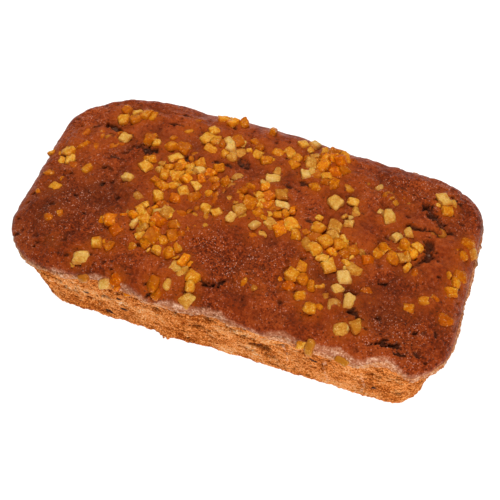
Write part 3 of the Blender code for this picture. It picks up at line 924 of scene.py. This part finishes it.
def dieShape(die, corners, cube, number):
    # A box with round edges, near which most of its points lie
    sizes = np.array(die["sizes"])
    radius = min(peel["edgeRadius"], sizes.min() * 0.3)
    spread = 0.5 * np.sin(math.pi * cube * 0.96) / math.sin(math.pi * 0.48)
    core = np.clip(spread * sizes, radius - sizes / 2, sizes / 2 - radius)
    off = spread * sizes - core
    shape = core + off / np.linalg.norm(off, axis=1)[:, None] * radius

    # Part of the way to a ball, then askew, plump and lumpy
    ball = cube / np.linalg.norm(cube, axis=1)[:, None] * sizes * 0.56
    low, high = peel["roundness"][die["sits"]]
    shape += (low + (high - low) * (0.5 + 0.5 * math.sin(7.3 * number))) * (ball - shape)
    weights = np.prod(0.5 + 2 * corners[None] * (shape / sizes)[:, None], axis=2)
    shape = shape + weights @ np.array(die["skew"]) * sizes * peel["uneven"]
    shape *= peel["plump"]
    for height, length in peel["lumps"]:
        moves = [noiseAt(*(shape + (17 * number, 0, 31 * axis)).T, length) for axis in range(3)]
        shape = shape + height * np.stack(moves, -1)
    return shape


def makePeel(dice):
    corners, cube, cubeFaces = cutCube(peel["cuts"])
    edge = smoothStep(0.5, 1.0, 2 * np.abs(cube[:, :2]).max(axis=1))
    tint = random.Random(peel["seed"] + 5)
    for tone, look in peelLook.items():
        shapes, tints, sunk, rise = [], [], [], []
        for number, die in enumerate(dice):
            shade = tint.uniform(0, 1)
            if die["tone"] != tone:
                continue
            shape = dieShape(die, corners, cube, number)
            centre = die["place"] + die["normal"] * die["sizes"][2] * (die["showing"] - 0.5)
            shapes.append(shape @ turnOf(die["normal"], die["heading"], die["tilt"]).T + np.array(centre))
            high = np.clip((shape[:, 2] / die["sizes"][2] - 0.5) / die["showing"] + 1, 0, 1)
            # lower parts, sides and rims get less rise, which the material paints darker: partly syrup,
            # partly painted shade
            rise += (high * (1 - peel["rimShade"] * edge)).tolist()
            tints += [shade] * len(cube)
            sunk += [float(die["sits"] == "sunken")] * len(cube)
        masks = {"tint": tints, "sunk": sunk, "rise": rise}
        faces = countedOn(cubeFaces, shapes)
        newPiece(look["piece"], np.concatenate(shapes), faces, peelMaterial(look), masks)


# Raisins under the crust: x, y and heading in degrees
crustRaisins = (
    (-84, 29, -25),
    (-62, 19, 10),
    (-38, 19, 0),
    (-12, 27, 70),
    (19, 38, -20),
    (21, 24, 30),
    (86, 26, -40),
    (88, 5, 80),
    (-3, -43, 15),
    (64, -39, -30),
    (82, -48, 5),
    (97, -43, 75),
)

# Raisins that the long front wall shows: x, z, length, heading in degrees
frontRaisins = (
    (-68, 32, 7, -5),
    (-50, 23, 8, -20),
    (16, 52, 9, 10),
    (-32, 55, 8, -15),
    (22, 33, 9, 5),
    (51, 35, 8, -25),
    (-62, 9, 9, -15),
    (82, 20, 6, 10),
    (-49, 37, 6, 5),
)

raisin = {
    "length": (8.0, 12.0),
    "width": 0.62,
    "showing": 0.08,
    "sink": 2.2,  # how deep they lie in the crust
    "wallCount": 16,  # round all four walls, but the front wall has its own instead
    "wallBand": (0.15, 0.85),
    "wallSize": 0.8,
    "wrinkle": (0.5, 2.2),  # depth, length
}


def raisinShape(length, number):
    shape = bmesh.new()
    bmesh.ops.create_icosphere(shape, subdivisions=4, radius=0.5)
    points, faces = takeMesh(shape)
    points[:, 1] *= 1 + 0.25 * points[:, 0]
    thick = raisin["width"] * length
    points = points * (length, thick, thick)
    depth, wave = raisin["wrinkle"]
    ridges = np.abs(noiseAt(points[:, 0] * 0.55 + 13 * number, points[:, 1], points[:, 2], wave))
    fold = np.abs(noiseAt(points[:, 0] + 7 * number, points[:, 1], points[:, 2], wave * 0.5))
    points *= (1 - depth * (0.45 * ridges + 0.25 * fold))[:, None]
    return points, faces


# Place, way out, heading and length of each raisin
def raisinPlaces():
    draw = random.Random(peel["seed"] + 1)
    places = []
    x, y = np.array([row[:2] for row in crustRaisins], float).T
    tearFloor = settled(x, y, crustHeight(x, y) - raisin["sink"])
    for (_, _, heading), place, normal in zip(crustRaisins, tearFloor, crustNormals(x, y)):
        places.append((Vector(place), normal, math.radians(heading), draw.uniform(*raisin["length"])))
    for x, z, length, heading in frontRaisins:
        place = wallSpot(x / (halfRim[0] - loaf["baseInset"][0] / 2), -1.0, z / loaf["rimHeight"])
        places.append((place, Vector((0, -1, -0.2)).normalized(), math.radians(heading), length))
    for number in range(raisin["wallCount"]):
        turn = 2 * math.pi * (number + draw.uniform(-0.3, 0.3)) / raisin["wallCount"]
        u, v = math.cos(turn), math.sin(turn)
        reach = max(abs(u), abs(v))
        if v == -reach:  # the front wall has its own
            continue
        share = draw.uniform(*raisin["wallBand"])
        place, inner = [wallSpot(u / reach * part, v / reach * part, share) for part in (1.0, 0.9)]
        heading = draw.uniform(-0.6, 0.6)
        length = draw.uniform(*raisin["length"]) * raisin["wallSize"]
        places.append((place, (place - inner).normalized(), heading, length))
    return places


def makeRaisins():
    shapes = []
    for number, (place, normal, heading, length) in enumerate(raisinPlaces()):
        shape, faces = raisinShape(length, number)
        centre = place + normal * raisin["width"] * length * (raisin["showing"] - 0.5)
        shapes.append(shape @ turnOf(normal, heading).T + np.array(centre))
    newPiece("raisins", np.concatenate(shapes), countedOn(faces, shapes), raisinMaterial())


# Adds a node with its settings and the stops of its ramp, and fills its inputs, in order or by
# name, with values or with the outputs of other nodes. Output 3 of TexCoord is the place on the
# object, and output 2 of Attribute is the value of a mask
def addNode(tree, kind, inputs=(), output=0, stops=(), **settings):
    node = tree.nodes.new("ShaderNode" + kind)
    for name, value in settings.items():
        setattr(node, name, value)
    for number, (position, hexColour) in enumerate(stops):
        elements = node.color_ramp.elements
        stop = elements[number] if number < 2 else elements.new(position)
        stop.position, stop.color = position, linearOf(hexColour)
    for key, value in inputs.items() if isinstance(inputs, dict) else enumerate(inputs):
        if isinstance(value, bpy.types.NodeSocket):
            tree.links.new(value, node.inputs[key])
        else:
            node.inputs[key].default_value = value
    return node.outputs[output] if node.outputs else None


# An empty material, and the function that adds its nodes
def newMaterial(name):
    material = bpy.data.materials.new(name)
    material.use_nodes = True
    material.node_tree.nodes.clear()
    return material, functools.partial(addNode, material.node_tree)


# Paints coats over a colour: where each lies, how much it covers there, and its colour.
# Inputs 0, 6 and 7 of a Mix node are its share and its two colours, and output 2 is the result
def paintOver(add, colour, coats):
    for where, cover, coat in coats:
        share = add("Math", (where, cover), operation="MULTIPLY")
        coat = linearOf(coat) if isinstance(coat, str) else coat
        colour = add("Mix", {0: share, 6: colour, 7: coat}, output=2, data_type="RGBA")
    return colour


# Scale of a pattern whose features have this real length
def perMetre(lengthMm):
    return 1 / (lengthMm * mm)


bakedLook = {
    "browned": ((0.3, "#4C1502"), (0.5, "#812C06"), (0.7, "#A04416")),
    "crumb": ((0.3, "#8A3C10"), (0.43, "#CA6A24"), (0.55, "#EE8E44"), (0.72, "#F6B270"), (0.88, "#F8D4B0")),
    "skin": ((0.36, "#9C5430"), (0.5, "#C68660"), (0.62, "#F2C6A6")),
    "clouds": ((24, 5.0), (6.0, 3.0), (2.2, 3.0), (0.9, 2.0)),  # broad, middle, small, fine: mm, detail
    "stain": (0.8, "#A04406"),  # from here on: how much it covers, and its colour
    # dark and low: painted shade of the hollows, and of how deep the crust is pushed in
    "dark": (0.5, "#4E1A06"),
    "low": (0.5, "#561D08"),
    # painted shade of pinholes
    "pores": (0.65, "#2C0F06"),
    # painted highlights
    "glints": (0.6, "#DCA890"),
    "pale": (0.7, "#F0C8A4"),
    # painted shade where the crumb is pushed in
    "crumbHoleShade": (0.45, "#7C2E0A"),
    # painted shade of tears, pits, holes, creases and the crevice under the skin
    "torn": (0.82, "#2E1208"),
}


# Baked crust and crumb: browned batter with a thin syrup glaze on top, and the rough
# orange-brown side that came out of the tin, which scatters light and has no gloss
def bakedMaterial():
    material, add = newMaterial("baked crust and crumb")
    look = bakedLook
    place = add("TexCoord", output=3)
    masks = ("wall", "lip", "torn", "stain", "dark", "pale", "rough", "low")
    wallShare, lip, torn, stain, dark, pale, rough, low = [
        add("Attribute", output=2, attribute_name=name) for name in masks
    ]
    broad, middle, small, fine = [
        add("TexNoise", {"Vector": place, "Scale": perMetre(length), "Detail": detail, "Roughness": 0.66})
        for length, detail in look["clouds"]
    ]

    # Crust colour: blotches of browning, painted shade in hollows and pores, amber where syrup ran off the
    # peel, and pale glints as painted highlights
    blotch = add("Math", (small, 0.7, broad), operation="MULTIPLY_ADD")
    blotch = add("Math", (blotch, 0.35), operation="SUBTRACT")
    speckle = add("Math", (fine, 0.46), operation="SUBTRACT")
    grainy = add("Math", (rough, 1.3, 0.3), operation="MULTIPLY_ADD")
    blotch = add("Math", (speckle, grainy, blotch), operation="MULTIPLY_ADD")
    browned = add("ValToRGB", (blotch,), stops=look["browned"])
    # painted highlights: pale glints, more where the crust is rough
    glints = add("TexVoronoi", {"Vector": place, "Scale": perMetre(0.95), "Randomness": 1.0})
    glints = add("Math", (glints, 0.26), operation="LESS_THAN")
    some = add("Math", (small, 0.52), operation="GREATER_THAN")
    dry = add("Math", (rough, 0.15), operation="ADD")
    glints = add("Math", (glints, some), operation="MULTIPLY")
    glints = add("Math", (glints, dry), operation="MULTIPLY")
    # painted shade: dark dots for pinholes, where the middle cloud is low
    pores = add("TexVoronoi", {"Vector": place, "Scale": perMetre(2.4), "Randomness": 1.0})
    pores = add("Math", (pores, 0.2), operation="LESS_THAN")
    pores = add("Math", (pores, add("Math", (middle, 0.52), operation="LESS_THAN")), operation="MULTIPLY")
    coats = {"stain": stain, "dark": dark, "low": low, "pores": pores, "glints": glints}
    crustColour = paintOver(add, browned, [(where, *look[name]) for name, where in coats.items()])

    # Crumb colour: orange-brown in flat layers, pale creases, and painted shade where holes and creases
    # sink in
    flat = add("Mapping", {"Vector": place, "Scale": (1.0, 1.0, 1.7)})
    layered = add("TexNoise", {"Vector": flat, "Scale": perMetre(5.0), "Detail": 5.0, "Roughness": 0.75})
    crumb = add("Math", (layered, 0.7, broad), operation="MULTIPLY_ADD")
    crumb = add("Math", (fine, 1.2, crumb), operation="MULTIPLY_ADD")
    crumb = add("Math", (crumb, 0.95), operation="SUBTRACT")
    crumbColour = add("ValToRGB", (crumb,), stops=look["crumb"])
    crumbColour = paintOver(add, crumbColour, ((pale, *look["pale"]), (low, *look["crumbHoleShade"])))

    # The pale skin under the rim lies over both, and painted shade darkens the tears, pits, holes, creases
    # and the crevice under the skin
    skin = add("Math", (lip, add("Math", (small, 0.16), operation="ADD")), operation="MULTIPLY")
    shade = add("Math", (add("Math", (fine, small), operation="ADD"), 0.5), operation="MULTIPLY")
    skinColour = add("ValToRGB", (shade,), stops=look["skin"])
    coats = ((wallShare, 1.0, crumbColour), (skin, 1.0, skinColour), (torn, *look["torn"]))
    colour = paintOver(add, crustColour, coats)

    # Fine relief, and the gloss of the syrup
    relief = add("Math", (small, 1.2, fine), operation="MULTIPLY_ADD")
    strength = add("Math", (wallShare, 1.3, 1.0), operation="MULTIPLY_ADD")
    relief = add("Math", (relief, strength), operation="MULTIPLY")
    syrup = add("Math", (stain, middle), operation="ADD")
    moist = add("Math", (syrup, -0.2, 0.56), operation="MULTIPLY_ADD")
    dull = add("Math", (wallShare, 0.9), operation="MULTIPLY")
    inputs = {
        "Base Color": colour,
        "Roughness": add("Math", (moist, dull), operation="MAXIMUM"),
        "IOR": 1.45,
        "Specular IOR Level": add("Math", (wallShare, -0.15, 0.18), operation="MULTIPLY_ADD"),
        "Specular Tint": linearOf("#FFC49C"),
        "Subsurface Weight": 0.05,
        "Subsurface Radius": (1.0, 0.45, 0.2),
        "Subsurface Scale": 1.2 * mm,
        "Sheen Weight": add("Math", (wallShare, -0.08, 0.08), operation="MULTIPLY_ADD"),
        "Sheen Roughness": 0.45,
        "Sheen Tint": linearOf("#FFC4A8"),
        "Normal": add("Bump", {"Height": relief, "Strength": 0.9, "Distance": 0.8 * mm}),
    }
    add("OutputMaterial", {"Surface": add("BsdfPrincipled", inputs)})
    return material


# The three kinds of peel: colours from dark to light, and the darker colour of their sides and lower parts,
# partly syrup soaked in and partly painted shade
peelLook = {
    "pale": {
        "piece": "palePeel",
        "slot": "peel_yellow",
        "material": "candied lemon peel",
        "stops": ((0.28, "#AC6818"), (0.46, "#C28430"), (0.64, "#CE9C48"), (0.85, "#D8AE62")),
        "soakedAndShaded": "#B4641A",
    },
    "amber": {
        "piece": "amberPeel",
        "slot": "peel_yellow",
        "material": "candied citron peel",
        "stops": ((0.28, "#A65004"), (0.46, "#C06A04"), (0.64, "#CC841A"), (0.85, "#DAA444")),
        "soakedAndShaded": "#B05808",
    },
    "orange": {
        "piece": "orangePeel",
        "slot": "peel_orange",
        "material": "candied orange peel",
        "stops": ((0.28, "#A84802"), (0.46, "#C66202"), (0.64, "#D67C04"), (0.85, "#E09E2C")),
        "soakedAndShaded": "#AC4C02",
    },
}


# Candied peel: pith soaked in syrup, translucent and moist, so light glows in its edges
def peelMaterial(look):
    material, add = newMaterial(look["material"])
    place = add("TexCoord", output=3)
    masks = ("tint", "sunk", "rise")
    tint, sunk, rise = [add("Attribute", output=2, attribute_name=name) for name in masks]
    cloud = add("TexNoise", {"Vector": place, "Scale": perMetre(2.4), "Detail": 4.0, "Roughness": 0.7})
    pith = add("TexNoise", {"Vector": place, "Scale": perMetre(0.8), "Detail": 2.0})
    shade = add("Math", (tint, 0.5, cloud), operation="MULTIPLY_ADD")
    shade = add("Math", (pith, 0.7, shade), operation="MULTIPLY_ADD")
    shade = add("Math", (shade, 0.6), operation="SUBTRACT")
    top = add("ValToRGB", (shade,), stops=look["stops"])
    # the lower the rise, the more of the darker side colour: partly syrup soaked in, partly painted shade
    inputs = {"Value": rise, "From Min": 0.15, "From Max": 0.95, "To Min": 0.75, "To Max": 0.0}
    soakedAndShaded = add("MapRange", inputs)
    # painted highlights: pale specks where the sugar glaze would catch the light
    glintSpecks = add("TexVoronoi", {"Vector": place, "Scale": perMetre(1.1), "Randomness": 1.0})
    glintSpecks = add("Math", (glintSpecks, 0.24), operation="LESS_THAN")
    glintSpecks = add("Math", (glintSpecks, add("Math", (cloud, 0.5), operation="GREATER_THAN")), operation="MULTIPLY")
    coats = ((soakedAndShaded, 1.0, look["soakedAndShaded"]), (sunk, 0.42, "#8E3E08"), (glintSpecks, 0.3, "#FFDCA0"))
    relief = add("Math", (pith, cloud), operation="ADD")
    inputs = {
        "Base Color": paintOver(add, top, coats),
        "Roughness": 0.36,
        "IOR": 1.45,
        "Specular IOR Level": 0.16,
        "Specular Tint": linearOf("#FFCC80"),
        "Subsurface Weight": 0.35,
        "Subsurface Radius": (1.0, 0.5, 0.15),
        "Subsurface Scale": 2.0 * mm,
        "Normal": add("Bump", {"Height": relief, "Strength": 0.5, "Distance": 0.6 * mm}),
    }
    add("OutputMaterial", {"Surface": add("BsdfPrincipled", inputs)})
    return material


raisinStops = ((0.35, "#220F08"), (0.55, "#4C2818"), (0.75, "#8A6450"))


# Raisin skin: dried, wrinkled and dull, with a faint grey bloom on its ridges
def raisinMaterial():
    material, add = newMaterial("raisin skin")
    place = add("TexCoord", output=3)
    cloud = add("TexNoise", {"Vector": place, "Scale": perMetre(1.8), "Detail": 4.0, "Roughness": 0.6})
    inputs = {
        "Base Color": add("ValToRGB", (cloud,), stops=raisinStops),
        "Roughness": 0.75,
        "Specular IOR Level": 0.07,
        "Normal": add("Bump", {"Height": cloud, "Strength": 0.6, "Distance": 0.3 * mm}),
    }
    add("OutputMaterial", {"Surface": add("BsdfPrincipled", inputs)})
    return material


# Plain floor and soft light, in metres
studio = {
    "floorHalf": 3.0,
    "floorHex": "#8C8C8C",
    "floorGlow": 0.9,
    "worldHex": "#FFFFFF",
    "worldStrength": 0.2,
    "aim": (0, 0, 0.03),
    "lights": (  # name, place, size, power
        ("back", (-0.16, 0.36, 0.72), 0.34, 5.0),
        ("front", (0.42, -0.66, 0.44), 0.35, 5.7),
    ),
}


# Matt floor that glows like a light table, so that it looks white and even round the cake
def makeFloor():
    material, add = newMaterial("plain studio floor")
    grain = add("TexNoise", {"Vector": add("TexCoord", output=3), "Scale": perMetre(1.5)})
    inputs = {
        "Base Color": linearOf(studio["floorHex"]),
        "Emission Color": linearOf(studio["worldHex"]),
        "Emission Strength": studio["floorGlow"],
        "Roughness": 0.9,
        "Normal": add("Bump", {"Height": grain, "Strength": 0.02, "Distance": 0.1 * mm}),
    }
    add("OutputMaterial", {"Surface": add("BsdfPrincipled", inputs)})
    half = studio["floorHalf"]
    corners = [(-half, -half, 0), (half, -half, 0), (half, half, 0), (-half, half, 0)]
    mesh = bpy.data.meshes.new("floor")
    mesh.from_pydata(corners, [], [(0, 1, 2, 3)])
    mesh.materials.append(material)
    floor = bpy.data.objects.new("floor", mesh)
    floor.location.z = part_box("cake_loaf")[0].z - 0.05 * mm
    bpy.context.scene.collection.objects.link(floor)


def addSoftbox(name, place, size, power):
    light = bpy.data.lights.new(name, "AREA")
    light.size = size
    light.energy = power
    made = bpy.data.objects.new(name, light)
    made.location = place
    made.rotation_euler = (Vector(place) - Vector(studio["aim"])).to_track_quat("Z", "Y").to_euler()
    bpy.context.scene.collection.objects.link(made)


def makeStudio():
    world = bpy.data.worlds.new("studio")
    world.use_nodes = True
    background = world.node_tree.nodes["Background"]
    background.inputs["Color"].default_value = linearOf(studio["worldHex"])
    background.inputs["Strength"].default_value = studio["worldStrength"]
    bpy.context.scene.world = world
    bpy.context.scene.view_settings.view_transform = "Standard"
    for name, place, size, power in studio["lights"]:
        addSoftbox(name, place, size, power)


# Camera that looks at the target, in millimetres and degrees
view = {
    "azimuth": 18.634,
    "elevation": 56.191,
    "roll": 0.397,
    "distance": 480.0,
    "target": (0.296, 1.014, 28.8),
    "lens": 66.72,
    "sensor": 36.0,
    "clip": (0.02, 20),  # in metres
}


def makeCamera():
    azimuth, elevation = math.radians(view["azimuth"]), math.radians(view["elevation"])
    out = math.cos(elevation)
    back = Vector((math.sin(azimuth) * out, -math.cos(azimuth) * out, math.sin(elevation)))
    data = bpy.data.cameras.new("camera")
    data.sensor_width = view["sensor"]
    data.lens = view["lens"]
    data.clip_start, data.clip_end = view["clip"]
    camera = bpy.data.objects.new("camera", data)
    camera.location = (Vector(view["target"]) + back * view["distance"]) * mm
    roll = Matrix.Rotation(math.radians(view["roll"]), 3, "Z")
    camera.rotation_euler = ((-back).to_track_quat("-Z", "Y").to_matrix() @ roll).to_euler()
    bpy.context.scene.collection.objects.link(camera)
    bpy.context.scene.camera = camera


dice = peelDice()
dice += patchDice(dice)
scraps = peelScraps(dice)
placeDice(dice + scraps)
scraps += rimDice()
print("dice of peel:", len(dice), "and scraps:", len(scraps))
makeLoaf(dice, bakedMaterial())
makePeel(dice + scraps)
print("peel made")
makeRaisins()
print("raisins made")
makeFloor()
makeStudio()
makeCamera()
